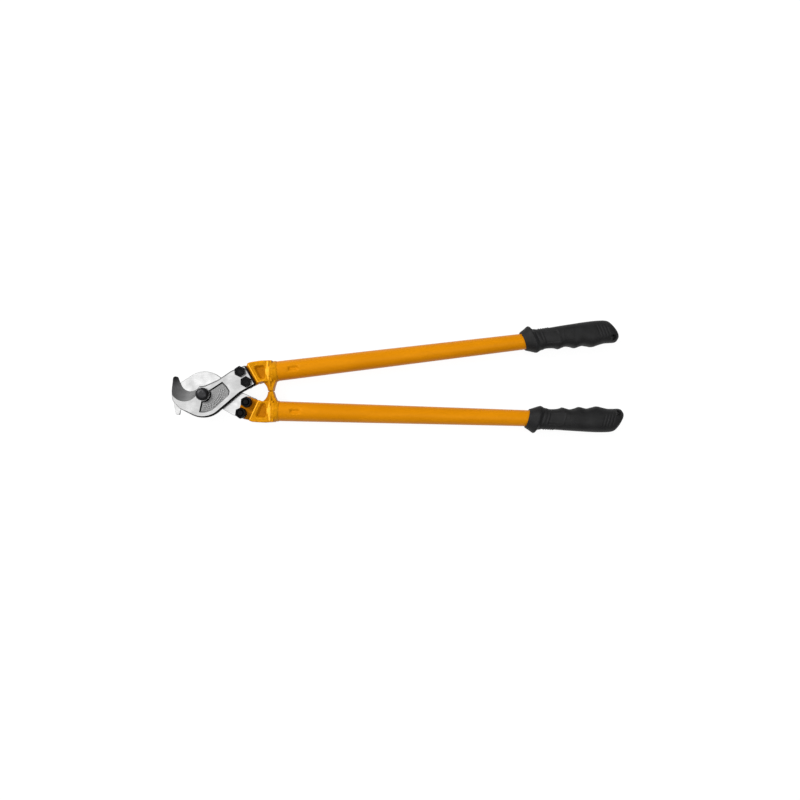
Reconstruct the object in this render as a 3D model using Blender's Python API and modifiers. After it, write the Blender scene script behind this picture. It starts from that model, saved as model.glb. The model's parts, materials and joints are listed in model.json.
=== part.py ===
"""Two-handed cable cutter with tubular handles, lying flat with its jaws closed.

The tool is two arms on one pivot. Each arm is a hook blade bolted to a cast socket, whose spigot
carries a tapered steel tube with a rubber grip. The two arms are the same set of parts: the lower
arm is the upper one turned half a turn about the tool's long axis.

Outlines are in millimetres in the arm's own frame. The pivot is at its origin, +X runs towards the
grips, +Y towards the arm's own handle and +Z towards the face that its own blade shows. Pieces on
the handle use the handle's frame: s along the tube, t across it, away from the other handle.
"""

import math

import bmesh
import bpy

MM = 0.001
GAP = 0.3  # between pieces that touch

# The tool, lying flat: its middle plane is this far above the surface it lies on.
HALF_HEIGHT = 17.5
HOOK_REACH = 41.44
GRIP_REACH = 557.28
PIVOT_X = (HOOK_REACH - GRIP_REACH) / 2

# Blades
BLADE_THICKNESS = 7.0
BLADE_BOTTOM = GAP / 2
BLADE_TOP = BLADE_BOTTOM + BLADE_THICKNESS
HUB_RADIUS = 31.0
NOTCH_X, NOTCH_Y, NOTCH_RADIUS = -17.6, 19.0, 13.8
BEVEL_X, BEVEL_Y, BEVEL_RADIUS = -24.2, 10.6, 19.2
BEVEL_LAND = 0.4
RECESS_DEPTH = 0.8
RECESS_INNER_RADIUS, RECESS_OUTER_RADIUS = 9.0, 24.5

# Pivot
PIVOT_RADIUS = 6.0
PIVOT_CLEARANCE = 0.15
CAP_RADIUS, CAP_FACE_RADIUS, CAP_HEIGHT = 9.7, 8.1, 7.8
PIVOT_NUT_WIDTH, PIVOT_NUT_HEIGHT = 18.0, 6.0
DISC_SPRING_RADIUS, DISC_SPRING_HEIGHT = 10.0, 1.8

# Socket bolts, M8
BOLT_RADIUS = 4.0
BOLT_HOLE_RADIUS = BOLT_RADIUS + GAP
BOLT_HEX_WIDTH, BOLT_HEAD_HEIGHT, BOLT_NUT_HEIGHT = 13.0, 5.3, 6.5
BOLT_END_LENGTH = 1.0
WASHER_RADIUS, WASHER_HEIGHT, WASHER_SPLIT = 6.9, 2.0, 1.2
BOLT_PLACES = {"outer": (50.7, 27.6), "inner": (58.3, 13.5)}

# Cast sockets
TONGUE_THICKNESS = 6.0
TONGUE_TOP = -GAP / 2
TONGUE_BOTTOM = TONGUE_TOP - TONGUE_THICKNESS
BODY_HALF, RIB_HALF, HORN_HALF = 10.5, 12.0, 7.5
POCKET_DEPTH = 3.5
HORN_HOLLOW_X, HORN_HOLLOW_RADIUS = 71.3, 14.9
BUMPER_GAP = GAP / 2
COLLAR_RADIUS, COLLAR_START, COLLAR_END = 14.0, -19.0, -9.5
SPIGOT_RADIUS, SPIGOT_END, SPIGOT_GROOVE_RADIUS = 10.7, 38.0, 9.0

# Handles
HANDLE_X, HANDLE_Y = 109.2, 27.55
HANDLE_ANGLE = math.radians(4.27)
TUBE_RADIUS, TUBE_TAPER, TUBE_WALL = 13.2, 0.0076, 2.0
TUBE_START, TUBE_END = COLLAR_END + GAP, 425.0
CRIMP_PLACE, CRIMP_LENGTH, CRIMP_WIDTH, CRIMP_DEPTH = 13.0, 15.0, 9.0, 1.3
GRIP_SQUARENESS = 2.7
HANGING_HOLE_S, HANGING_HOLE_T, HANGING_HOLE_RADIUS = 438.8, -10.3, 3.1

# Each section of the grip: outer side s and t, inner side s and t, and half its height.
GRIP_SECTIONS = (
    (318.2, 12.5, 323.0, -12.2, 13.2),
    (329.3, 19.6, 338.4, -17.0, 17.3),
    (335.0, 15.0, 344.5, -14.5, 15.0),
    (349.0, 14.0, 352.0, -13.0, 15.8),
    (359.0, 14.2, 359.0, -13.5, 16.6),
    (367.0, 14.6, 367.0, -15.6, 17.2),
    (371.5, 14.8, 371.5, -14.4, 17.6),
    (377.0, 15.0, 377.0, -13.4, 18.0),
    (389.0, 15.5, 389.0, -17.0, 18.3),
    (400.0, 15.8, 400.0, -15.1, 18.3),
    (405.5, 16.0, 405.5, -16.5, 18.3),
    (412.3, 16.2, 412.3, -18.4, 18.3),
    (423.0, 16.1, 425.0, -15.9, 18.0),
    (432.5, 15.1, 437.5, -15.9, 16.8),
    (437.0, 13.0, 442.6, -16.1, 14.4),
    (440.6, 8.6, 446.2, -14.2, 11.8),
    (443.4, 3.6, 448.6, -9.7, 8.5),
)
ROUND_STEPS = 36


def clear_scene():
    for obj in list(bpy.data.objects):
        bpy.data.objects.remove(obj, do_unlink=True)


def new_collection(name):
    collection = bpy.data.collections.new(name)
    bpy.context.scene.collection.children.link(collection)
    return collection


def new_material(name, color, metallic, roughness):
    material = bpy.data.materials.new(name)
    material.use_nodes = True
    shader = material.node_tree.nodes["Principled BSDF"]
    shader.inputs["Base Color"].default_value = (*color, 1.0)
    shader.inputs["Metallic"].default_value = metallic
    shader.inputs["Roughness"].default_value = roughness
    material.diffuse_color = (*color, 1.0)
    return material


# Shapes


def place(name, mesh, arm, is_cutter=False):
    """A mesh as an object of its arm. A cutter is only a tool for the other pieces' Booleans."""
    obj = bpy.data.objects.new(name, mesh)
    COLLECTIONS["cutters" if is_cutter else "parts"].objects.link(obj)
    obj.parent = arm
    obj.hide_render = is_cutter
    obj.display_type = "WIRE" if is_cutter else "TEXTURED"
    return obj


def put_on_handle(obj, tilt=0.0):
    """Moves a piece from the arm's frame to the handle's. A tilt of a quarter turn lays its Z along s."""
    obj.location = (HANDLE_X * MM, HANDLE_Y * MM, 0)
    obj.rotation_euler = (0, tilt, HANDLE_ANGLE)


def rounded(corners):
    """The outline through these corners, each (x, y, radius), with an arc for every radius over 0."""
    points = []
    for i, (x, y, radius) in enumerate(corners):
        before, after = corners[i - 1], corners[(i + 1) % len(corners)]
        if radius <= 0:
            points.append((x, y))
            continue
        to_before = math.atan2(before[1] - y, before[0] - x)
        to_after = math.atan2(after[1] - y, after[0] - x)
        turn = math.remainder(to_after - to_before, 2 * math.pi)
        half = abs(turn) / 2
        middle = to_before + turn / 2
        centre_x = x + radius / math.sin(half) * math.cos(middle)
        centre_y = y + radius / math.sin(half) * math.sin(middle)
        swing = (math.pi - abs(turn)) * math.copysign(1, turn)
        start = middle + math.pi + swing / 2
        steps = max(2, math.ceil(abs(swing) / math.radians(12)))
        for k in range(steps + 1):
            angle = start - swing * k / steps
            points.append((centre_x + radius * math.cos(angle), centre_y + radius * math.sin(angle)))
    return points


def arc(x, y, radius, start, end, steps=16):
    """Points along a circle, from one angle to another in degrees."""
    angles = [math.radians(start + (end - start) * k / steps) for k in range(steps + 1)]
    return [(x + radius * math.cos(a), y + radius * math.sin(a)) for a in angles]


def plate(name, outline, bottom, top, arm, is_cutter=False):
    """A flat outline with its thickness along Z."""
    curve = bpy.data.curves.new(name, "CURVE")
    curve.dimensions = "2D"
    curve.fill_mode = "BOTH"
    curve.extrude = (top - bottom) / 2 * MM
    spline = curve.splines.new("POLY")
    spline.points.add(len(outline) - 1)
    for point, (x, y) in zip(spline.points, outline):
        point.co = (x * MM, y * MM, 0, 1)
    spline.use_cyclic_u = True
    guide = bpy.data.objects.new(name + "_outline", curve)
    COLLECTIONS["cutters"].objects.link(guide)
    guide.location.z = (top + bottom) / 2 * MM
    bpy.context.view_layer.update()
    mesh = bpy.data.meshes.new_from_object(guide.evaluated_get(bpy.context.evaluated_depsgraph_get()))
    mesh.transform(guide.matrix_world)
    bpy.data.objects.remove(guide)
    shape = bmesh.new()
    shape.from_mesh(mesh)
    bmesh.ops.remove_doubles(shape, verts=shape.verts, dist=1e-6)
    bmesh.ops.recalc_face_normals(shape, faces=shape.faces)
    shape.to_mesh(mesh)
    shape.free()
    return place(name, mesh, arm, is_cutter)


def turned(name, profile, arm, is_ring=False, is_cutter=False):
    """A solid turned about its Z. The profile is (radius, height) pairs down the outer side."""
    mesh = bpy.data.meshes.new(name)
    edges = [(i, i + 1) for i in range(len(profile) - 1)]
    if is_ring:
        edges.append((len(profile) - 1, 0))
    mesh.from_pydata([(radius * MM, 0, height * MM) for radius, height in profile], edges, [])
    obj = place(name, mesh, arm, is_cutter)
    screw = obj.modifiers.new("turn", "SCREW")
    screw.steps = screw.render_steps = ROUND_STEPS
    screw.use_merge_vertices = True
    screw.merge_threshold = 1e-5
    screw.use_smooth_shade = False
    return obj


def frustum(name, low, high, arm, sides=ROUND_STEPS, is_cutter=True):
    """A prism or cone between two circles, each (x, y, z, radius), one above the other."""
    shape = bmesh.new()
    depth = (high[2] - low[2]) * MM
    bmesh.ops.create_cone(
        shape, cap_ends=True, segments=sides, radius1=low[3] * MM, radius2=high[3] * MM, depth=depth
    )
    for vertex in shape.verts:
        x, y, z, _ = high if vertex.co.z > 0 else low
        vertex.co.x += x * MM
        vertex.co.y += y * MM
        vertex.co.z = z * MM
    mesh = bpy.data.meshes.new(name)
    shape.to_mesh(mesh)
    shape.free()
    return place(name, mesh, arm, is_cutter)


def hexagon(name, x, y, bottom, top, width, arm, is_cutter=False):
    radius = width / math.sqrt(3)
    return frustum(name, (x, y, bottom, radius), (x, y, top, radius), arm, 6, is_cutter)


def hole(name, x, y, bottom, top, radius, arm):
    return frustum(name, (x, y, bottom, radius), (x, y, top, radius), arm)


def combine(obj, other, operation):
    boolean = obj.modifiers.new(other.name, "BOOLEAN")
    boolean.operation = operation
    boolean.solver = "EXACT"
    boolean.object = other


def finish(obj, material):
    """Gives a piece its material and smooth shading across its round sides."""
    obj.data.materials.clear()
    obj.data.materials.append(material)
    obj.data.shade_smooth()
    obj.data.set_sharp_from_angle(angle=math.radians(30))


# Blades


def blade_outline():
    """The hook, the round hub below the pivot and the shank that is bolted to the socket."""
    return rounded(
        [
            (57.0, 36.2, 1.5),
            (38.0, 29.6, 25),
            (20.5, 18.4, 40),
            (2.0, 11.2, 12),
            (-10.0, 10.6, 0),
            (-18.0, NOTCH_Y, 0),
            (-30.8, 15.6, 0),
            (-34.2, 25.6, 1.8),
            (-38.8, 25.2, 2.6),
            (-41.6, 9.0, 60),
            (-41.2, -6.0, 10),
            (-31.5, -17.6, 12),
            (2.5, -37.3, HUB_RADIUS),
            (49.3, -0.6, 40),
            (70.5, 9.7, 2.0),
        ]
    )


def recess_outline():
    """The sunken field on the blade's face, round the lower right of the pivot."""
    outer = [(35.8, 2.5), (34.6, -3.0)] + arc(0, 0, RECESS_OUTER_RADIUS, -48, -104)
    inner = arc(0, 0, RECESS_INNER_RADIUS, -104, 30.5)
    return [(26.3, 15.5), (32.6, 8.4)] + outer + inner


def build_blade(name, arm, material):
    blade = plate(name, blade_outline(), BLADE_BOTTOM, BLADE_TOP, arm)
    over = BLADE_TOP + 1
    under = BLADE_BOTTOM - 1
    combine(blade, hole(name + "_notch", NOTCH_X, NOTCH_Y, under, over, NOTCH_RADIUS, arm), "DIFFERENCE")
    combine(blade, bevel_cutter(name + "_bevel", arm), "DIFFERENCE")
    floor = BLADE_TOP - RECESS_DEPTH
    combine(blade, plate(name + "_recess", recess_outline(), floor, over, arm, True), "DIFFERENCE")
    bore = PIVOT_RADIUS + PIVOT_CLEARANCE
    combine(blade, hole(name + "_pivot_hole", 0, 0, under, over, bore, arm), "DIFFERENCE")
    for place_name, (x, y) in BOLT_PLACES.items():
        cutter = hole(f"{name}_{place_name}_hole", x, y, under, over, BOLT_HOLE_RADIUS, arm)
        combine(blade, cutter, "DIFFERENCE")
    finish(blade, material)


def bevel_cutter(name, arm):
    """A slanted cone that grinds the hook's face down to the cutting edge."""
    edge = BLADE_BOTTOM + BEVEL_LAND

    def circle(share):
        return (
            NOTCH_X + (BEVEL_X - NOTCH_X) * share,
            NOTCH_Y + (BEVEL_Y - NOTCH_Y) * share,
            edge + (BLADE_TOP - edge) * share,
            NOTCH_RADIUS + (BEVEL_RADIUS - NOTCH_RADIUS) * share,
        )

    return frustum(name, circle(-0.03), circle(1.15), arm, 64)


# Sockets


def body_outline():
    return rounded(
        [
            (59.5, 37.6, 1.5),
            (73.0, 10.9, 1.5),
            (78.8, 12.8, 3),
            (93.0, 12.8, 0),
            (93.0, 41.0, 0),
            (79.0, 41.2, 20),
            (64.5, 39.8, 8),
        ]
    )


def horn_outline():
    """The bumper that meets the other socket's when the jaws are shut, hollowed on the jaws' side."""
    hollow = arc(HORN_HOLLOW_X, 0, HORN_HOLLOW_RADIUS, 56.8, 4)
    rest = [(87.2, BUMPER_GAP, 0), (93.0, BUMPER_GAP, 1.2), (94.9, 7.2, 6), (97.9, 14.5, 0), (97.0, 20.0, 0)]
    return hollow + rounded([(86.1, 1.0, 0)] + rest + [(79.0, 20.0, 0)])[1:]


def tongue_outline():
    """The lug behind the blade's shank, which ends clear of the sweep of the other blade's hook."""
    return rounded(
        [
            (75.0, 38.0, 0),
            (64.0, 38.9, 8),
            (55.8, 37.6, 10),
            (44.6, 33.4, 5),
            (41.2, 27.5, 4),
            (44.5, 18.5, 16),
            (48.6, 8.8, 5),
            (57.0, 3.6, 3),
            (75.0, 12.0, 0),
        ]
    )


def pocket_outline():
    return rounded([(68.5, 34.0, 1.5), (83.4, 35.0, 1.5), (81.5, 19.0, 1.5), (77.0, 17.0, 1.5)])


def rib_outline():
    return rounded([(86.4, 37.6, 1.5), (85.4, 26.0, 60), (86.4, 13.6, 1.0), (92.0, 13.6, 0), (92.0, 37.6, 0)])


def collar_profile():
    """Down the spigot from its end, past the groove that takes the tube's crimps, to the collar."""
    groove_start = CRIMP_PLACE - CRIMP_LENGTH / 2 - 1
    groove_end = CRIMP_PLACE + CRIMP_LENGTH / 2 + 1
    return [
        (0, SPIGOT_END),
        (SPIGOT_RADIUS - 1.3, SPIGOT_END),
        (SPIGOT_RADIUS - 0.3, SPIGOT_END - 1),
        (SPIGOT_RADIUS - 0.2, groove_end + 1),
        (SPIGOT_GROOVE_RADIUS, groove_end),
        (SPIGOT_GROOVE_RADIUS, groove_start),
        (SPIGOT_RADIUS, groove_start - 1),
        (SPIGOT_RADIUS, COLLAR_END),
        (COLLAR_RADIUS - 0.8, COLLAR_END),
        (COLLAR_RADIUS, COLLAR_END - 0.8),
        (COLLAR_RADIUS, COLLAR_START),
        (COLLAR_RADIUS - 3.0, COLLAR_START - 5),
        (0, COLLAR_START - 5),
    ]


def build_socket(name, arm, material):
    socket = plate(name, body_outline(), -BODY_HALF, BODY_HALF, arm)
    joined = [
        plate(name + "_horn", horn_outline(), -HORN_HALF, HORN_HALF, arm, True),
        plate(name + "_rib", rib_outline(), -RIB_HALF, RIB_HALF, arm, True),
        plate(name + "_tongue", tongue_outline(), TONGUE_BOTTOM, TONGUE_TOP, arm, True),
        turned(name + "_collar", collar_profile(), arm, is_cutter=True),
    ]
    put_on_handle(joined[-1], tilt=math.pi / 2)
    for other in joined:
        combine(socket, other, "UNION")
    floor = BODY_HALF - POCKET_DEPTH
    for side, (bottom, top) in {"front": (floor, BODY_HALF + 1), "rear": (-BODY_HALF - 1, -floor)}.items():
        pocket = plate(f"{name}_{side}_pocket", pocket_outline(), bottom, top, arm, True)
        combine(socket, pocket, "DIFFERENCE")
    for place_name, (x, y) in BOLT_PLACES.items():
        under, over = TONGUE_BOTTOM - 1, TONGUE_TOP + 1
        cutter = hole(f"{name}_{place_name}_hole", x, y, under, over, BOLT_HOLE_RADIUS, arm)
        combine(socket, cutter, "DIFFERENCE")
    finish(socket, material)


# Handles


def tube_radius(s):
    return TUBE_RADIUS - TUBE_TAPER * s


def crimp_depth(s, across):
    """How far the crimp pushes the wall in, at this place along and across the tube."""
    along = 1 - (2 * (s - CRIMP_PLACE) / CRIMP_LENGTH) ** 2
    sideways = 1 - (2 * across / CRIMP_WIDTH) ** 2
    return CRIMP_DEPTH * max(0, along) * max(0, sideways)


def build_tube(name, arm, material):
    """A tapered tube with one crimp in front and one behind, both into the spigot's groove."""
    crimp_rings = [CRIMP_PLACE + CRIMP_LENGTH * share for share in (-0.5, -0.35, -0.15, 0.15, 0.35, 0.5)]
    rings = [TUBE_START, *crimp_rings, TUBE_END]
    vertices = []
    for s in rings:
        for k in range(ROUND_STEPS):
            angle = 2 * math.pi * k / ROUND_STEPS
            t = tube_radius(s) * math.cos(angle)
            radius = tube_radius(s) - crimp_depth(s, t)
            vertices.append((s * MM, radius * math.cos(angle) * MM, radius * math.sin(angle) * MM))
    mesh = bpy.data.meshes.new(name)
    mesh.from_pydata(vertices, [], ring_faces(len(rings), ROUND_STEPS))
    tube = place(name, mesh, arm)
    put_on_handle(tube)
    wall = tube.modifiers.new("wall", "SOLIDIFY")
    wall.thickness = TUBE_WALL * MM
    wall.offset = -1
    finish(tube, material)


def ring_faces(rings, steps):
    """Faces that join each ring of points to the next, seen from outside."""
    return [
        (i * steps + k, i * steps + (k + 1) % steps, (i + 1) * steps + (k + 1) % steps, (i + 1) * steps + k)
        for i in range(rings - 1)
        for k in range(steps)
    ]


def squared(value):
    """A sine or cosine drawn out towards the corners of a square."""
    return math.copysign(abs(value) ** (2 / GRIP_SQUARENESS), value)


def grip_section(outer_s, outer_t, inner_s, inner_t, half_height):
    """One ring of the grip, flat where it would pass the plane that the tool lies on."""
    points = []
    for k in range(ROUND_STEPS):
        angle = 2 * math.pi * k / ROUND_STEPS
        share = (1 + squared(math.cos(angle))) / 2
        s = inner_s + (outer_s - inner_s) * share
        t = inner_t + (outer_t - inner_t) * share
        z = half_height * squared(math.sin(angle))
        points.append((s * MM, t * MM, max(-HALF_HEIGHT, min(HALF_HEIGHT, z)) * MM))
    return points


def build_grip(name, arm, material):
    """A loft through the sections, bored for the tube and pierced for hanging."""
    vertices = [point for section in GRIP_SECTIONS for point in grip_section(*section)]
    faces = ring_faces(len(GRIP_SECTIONS), ROUND_STEPS)
    last = len(vertices) - ROUND_STEPS
    faces.append(tuple(reversed(range(ROUND_STEPS))))
    faces.append(tuple(range(last, len(vertices))))
    mesh = bpy.data.meshes.new(name)
    mesh.from_pydata(vertices, [], faces)
    grip = place(name, mesh, arm)
    put_on_handle(grip)
    mouth, end = GRIP_SECTIONS[0][0] - 10, TUBE_END + 5 * GAP
    bore = frustum(
        name + "_bore",
        (0, 0, mouth, tube_radius(mouth) + GAP),
        (0, 0, end, tube_radius(end) + GAP),
        arm,
    )
    put_on_handle(bore, tilt=math.pi / 2)
    combine(grip, bore, "DIFFERENCE")
    over = HALF_HEIGHT + 1
    hanging = hole(name + "_hanging", HANGING_HOLE_S, HANGING_HOLE_T, -over, over, HANGING_HOLE_RADIUS, arm)
    put_on_handle(hanging)
    combine(grip, hanging, "DIFFERENCE")
    finish(grip, material)


# Fasteners


def build_bolt(name, x, y, arm, material):
    """A hex bolt whose head bears on the blade."""
    head_bottom = BLADE_TOP + GAP
    end = TONGUE_BOTTOM - GAP - WASHER_HEIGHT - GAP - BOLT_NUT_HEIGHT - BOLT_END_LENGTH
    bolt = hexagon(name, x, y, head_bottom, head_bottom + BOLT_HEAD_HEIGHT, BOLT_HEX_WIDTH, arm)
    shank = hole(name + "_shank", x, y, end, head_bottom + BOLT_HEAD_HEIGHT / 2, BOLT_RADIUS, arm)
    combine(bolt, shank, "UNION")
    finish(bolt, material)


def build_spring_washer(name, x, y, arm, material):
    """A split ring under the nut."""
    top = TONGUE_BOTTOM - GAP
    bottom = top - WASHER_HEIGHT
    bore = BOLT_RADIUS + GAP
    washer = turned(
        name, [(WASHER_RADIUS, top), (WASHER_RADIUS, bottom), (bore, bottom), (bore, top)], arm, is_ring=True
    )
    washer.location = (x * MM, y * MM, 0)
    half = WASHER_SPLIT / 2
    corners = [(x, y - half), (x + 10, y - half), (x + 10, y + half), (x, y + half)]
    combine(washer, plate(name + "_split", corners, bottom - 1, top + 1, arm, True), "DIFFERENCE")
    finish(washer, material)


def build_nut(name, x, y, arm, material):
    top = TONGUE_BOTTOM - GAP - WASHER_HEIGHT - GAP
    bottom = top - BOLT_NUT_HEIGHT
    nut = hexagon(name, x, y, bottom, top, BOLT_HEX_WIDTH, arm)
    combine(nut, hole(name + "_hole", x, y, bottom - 1, top + 1, BOLT_RADIUS + GAP, arm), "DIFFERENCE")
    finish(nut, material)


def build_pivot(axis, material):
    """The round-headed bolt that both blades turn on, with a disc spring and a nut behind them."""
    cap_bottom = BLADE_TOP + GAP
    chamfer = CAP_RADIUS - CAP_FACE_RADIUS
    bolt = turned(
        "pivot_bolt",
        [
            (0, cap_bottom + CAP_HEIGHT),
            (CAP_FACE_RADIUS, cap_bottom + CAP_HEIGHT),
            (CAP_RADIUS, cap_bottom + CAP_HEIGHT - chamfer),
            (CAP_RADIUS, cap_bottom),
            (PIVOT_RADIUS, cap_bottom),
            (PIVOT_RADIUS, 1 - HALF_HEIGHT),
            (PIVOT_RADIUS - 1, -HALF_HEIGHT),
            (0, -HALF_HEIGHT),
        ],
        axis,
    )
    finish(bolt, material)
    spring_top = -BLADE_TOP - GAP
    spring_bottom = spring_top - DISC_SPRING_HEIGHT
    sheet = DISC_SPRING_HEIGHT / 2
    bore = PIVOT_RADIUS + GAP
    spring = turned(
        "pivot_disc_spring",
        [
            (DISC_SPRING_RADIUS, spring_top),
            (DISC_SPRING_RADIUS, spring_top - sheet),
            (bore, spring_bottom),
            (bore, spring_bottom + sheet),
        ],
        axis,
        is_ring=True,
    )
    finish(spring, material)
    nut_top = spring_bottom - GAP
    nut_bottom = nut_top - PIVOT_NUT_HEIGHT
    nut = hexagon("pivot_nut", 0, 0, nut_bottom, nut_top, PIVOT_NUT_WIDTH, axis)
    combine(nut, hole("pivot_nut_hole", 0, 0, nut_bottom - 1, nut_top + 1, bore, axis), "DIFFERENCE")
    finish(nut, material)


# The tool


def new_arm(name, turn):
    """The frame of one arm, at the pivot: its pieces turn with it."""
    arm = bpy.data.objects.new(name, None)
    COLLECTIONS["parts"].objects.link(arm)
    arm.location = (PIVOT_X * MM, 0, HALF_HEIGHT * MM)
    arm.rotation_euler = (turn, 0, 0)
    return arm


def build_arm(side, blade_name, arm, materials):
    build_blade(blade_name, arm, materials["blade"])
    build_socket(f"{side}_socket", arm, materials["socket"])
    build_tube(f"{side}_tube", arm, materials["tube"])
    build_grip(f"{side}_grip", arm, materials["grip"])
    for place_name, (x, y) in BOLT_PLACES.items():
        name = f"{side}_{place_name}"
        build_bolt(f"{name}_bolt", x, y, arm, materials["fastener"])
        build_spring_washer(f"{name}_spring_washer", x, y, arm, materials["fastener"])
        build_nut(f"{name}_nut", x, y, arm, materials["fastener"])


clear_scene()
COLLECTIONS = {"parts": new_collection("cable_cutter"), "cutters": new_collection("cutters")}
MATERIALS = {
    "blade": new_material("blade_steel", (0.62, 0.62, 0.61), 1.0, 0.35),
    "socket": new_material("socket_paint", (0.86, 0.42, 0.02), 0.0, 0.45),
    "tube": new_material("tube_paint", (0.88, 0.40, 0.01), 0.0, 0.35),
    "grip": new_material("grip_rubber", (0.025, 0.025, 0.027), 0.0, 0.7),
    "fastener": new_material("black_steel", (0.03, 0.03, 0.032), 0.6, 0.45),
}
build_arm("upper", "front_blade", new_arm("upper_arm", 0), MATERIALS)
build_arm("lower", "rear_blade", new_arm("lower_arm", math.pi), MATERIALS)
build_pivot(new_arm("pivot_axis", 0), MATERIALS["fastener"])
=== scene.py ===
import json
import math

import bmesh
import bpy
import numpy as np
from mathutils import Matrix, Vector


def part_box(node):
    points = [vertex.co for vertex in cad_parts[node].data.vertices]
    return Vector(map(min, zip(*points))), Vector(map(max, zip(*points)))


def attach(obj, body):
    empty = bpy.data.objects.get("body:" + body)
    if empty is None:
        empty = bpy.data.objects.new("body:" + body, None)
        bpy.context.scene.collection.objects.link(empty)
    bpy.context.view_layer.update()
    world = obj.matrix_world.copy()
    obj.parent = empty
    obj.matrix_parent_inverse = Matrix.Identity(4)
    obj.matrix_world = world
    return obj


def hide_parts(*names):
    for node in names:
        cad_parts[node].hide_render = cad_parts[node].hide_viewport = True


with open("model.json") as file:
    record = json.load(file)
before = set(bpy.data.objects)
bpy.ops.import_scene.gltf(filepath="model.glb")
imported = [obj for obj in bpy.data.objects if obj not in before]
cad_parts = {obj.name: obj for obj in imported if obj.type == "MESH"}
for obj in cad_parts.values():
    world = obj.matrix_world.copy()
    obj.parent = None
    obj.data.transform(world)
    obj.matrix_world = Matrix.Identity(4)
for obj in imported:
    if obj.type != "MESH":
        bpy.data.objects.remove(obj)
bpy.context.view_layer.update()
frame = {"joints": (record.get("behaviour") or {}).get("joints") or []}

# A two-handed cable cutter. Both arms are the same set of parts, so each piece is modelled once in
# the arm's own frame, in millimetres: the pivot is at the origin, +X runs towards the grips, +Y
# towards the arm's handle and +Z towards the face that its blade shows. The lower arm is the upper
# one turned half a turn about X. Pieces on the handle use s along the tube and t across it.

MM = 0.001
PIVOT = Vector(frame["joints"][0]["pos_m"])
ARMS = {
    "upper": Matrix.Translation(PIVOT),
    "lower": Matrix.Translation(PIVOT) @ Matrix.Rotation(math.pi, 4, "X"),
}
BLADES = {"upper": "front_blade", "lower": "rear_blade"}
BOLT_NAMES = ("outer", "inner")


def span(node, axis):
    """The lowest and highest place of a CAD node along an axis, from the pivot, in millimetres."""
    low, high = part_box(node)
    return (low[axis] - PIVOT[axis]) / MM, (high[axis] - PIVOT[axis]) / MM


def middle(node):
    """Where a CAD node's box has its centre, from the pivot, in millimetres."""
    return tuple(sum(span(node, axis)) / 2 for axis in (0, 1))


# Heights and places taken from the frame
FLOOR_HALF = -span("pivot_bolt", 2)[0]
BLADE_BOTTOM, BLADE_TOP = span("front_blade", 2)
NUT_BOTTOM, NUT_TOP = span("upper_outer_nut", 2)
WASHER_BOTTOM, WASHER_TOP = span("upper_outer_spring_washer", 2)
BOLT_END, HEAD_TOP = span("upper_outer_bolt", 2)
CAP_TOP = span("pivot_bolt", 2)[1]
PIVOT_NUT_BOTTOM, PIVOT_NUT_TOP = span("pivot_nut", 2)
DISC_BOTTOM, DISC_TOP = span("pivot_disc_spring", 2)
BOLT_PLACES = {name: middle(f"upper_{name}_nut") for name in BOLT_NAMES}
CAP_RADIUS = span("pivot_bolt", 0)[1]
DISC_RADIUS = span("pivot_disc_spring", 0)[1]
PIVOT_NUT_WIDTH = 2 * span("pivot_nut", 0)[1]
SOCKET_TOP_RADIUS = span("upper_socket", 2)[1]

# Blades
NOTCH_X, NOTCH_Y, NOTCH_RADIUS = -17.6, 19.0, 13.8
BEVEL_X, BEVEL_Y, BEVEL_RADIUS = -24.2, 10.6, 19.2
BEVEL_LAND = 0.4
RECESS_DEPTH, RECESS_DRAFT = 1.1, 1.9
RECESS_INNER, RECESS_OUTER = 9.0, 24.5
PATTERN_X, PATTERN_Y, PATTERN_RADII = 1.0, 7.5, (21.6, 24.2, 26.8)

# Fasteners
BOLT_RADIUS, BOLT_PITCH, HEX_WIDTH = 4.0, 1.25, 13.0
WASHER_RADIUS, WASHER_BORE = 6.9, 4.15
PIVOT_RADIUS, PIVOT_PITCH = 6.0, 1.5
PIVOT_CLEARANCE, BOLT_CLEARANCE, TONGUE_CLEARANCE = 0.15, 0.3, 0.5
SEAT = 0.02  # a head stands this far off the blade

# Sockets
TONGUE_TOP = -BLADE_BOTTOM
TONGUE_BOTTOM = TONGUE_TOP - 6.0
BODY_HALF, HORN_HALF, POCKET_DEPTH = 10.2, 7.3, 3.6
COLLAR_START, COLLAR_END = -19.0, -9.25

# Handles
HANDLE_X, HANDLE_Y, HANDLE_ANGLE = 109.2, 27.55, math.radians(4.27)
TUBE_RADIUS, TUBE_TAPER, TUBE_WALL = 13.2, 0.0076, 2.0
TUBE_START, TUBE_END = COLLAR_END + 0.06, 425.0
CRIMP_PLACE, CRIMP_LENGTH, CRIMP_WIDTH, CRIMP_DEPTH = 12.8, 16.5, 10.0, 2.5
HOLE_S, HOLE_T, HOLE_RADIUS = 438.8, -10.3, 3.1
GRIP_HALF = FLOOR_HALF - 0.01  # just inside the floor's height

HANDLE = Matrix.Translation((HANDLE_X * MM, HANDLE_Y * MM, 0)) @ Matrix.Rotation(HANDLE_ANGLE, 4, "Z")


# ---------------------------------------------------------------- meshes


def object_of(name, mesh):
    obj = bpy.data.objects.new(name, mesh)
    bpy.context.scene.collection.objects.link(obj)
    return obj


def solid(name, points, faces):
    """A mesh from points in millimetres, with its faces turned outwards."""
    mesh = bpy.data.meshes.new(name)
    mesh.from_pydata([tuple(p) for p in np.asarray(points) * MM], [], faces)
    shape = bmesh.new()
    shape.from_mesh(mesh)
    bmesh.ops.triangulate(shape, faces=[face for face in shape.faces if len(face.verts) > 4])
    bmesh.ops.recalc_face_normals(shape, faces=shape.faces)
    shape.to_mesh(mesh)
    shape.free()
    return object_of(name, mesh)


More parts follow.
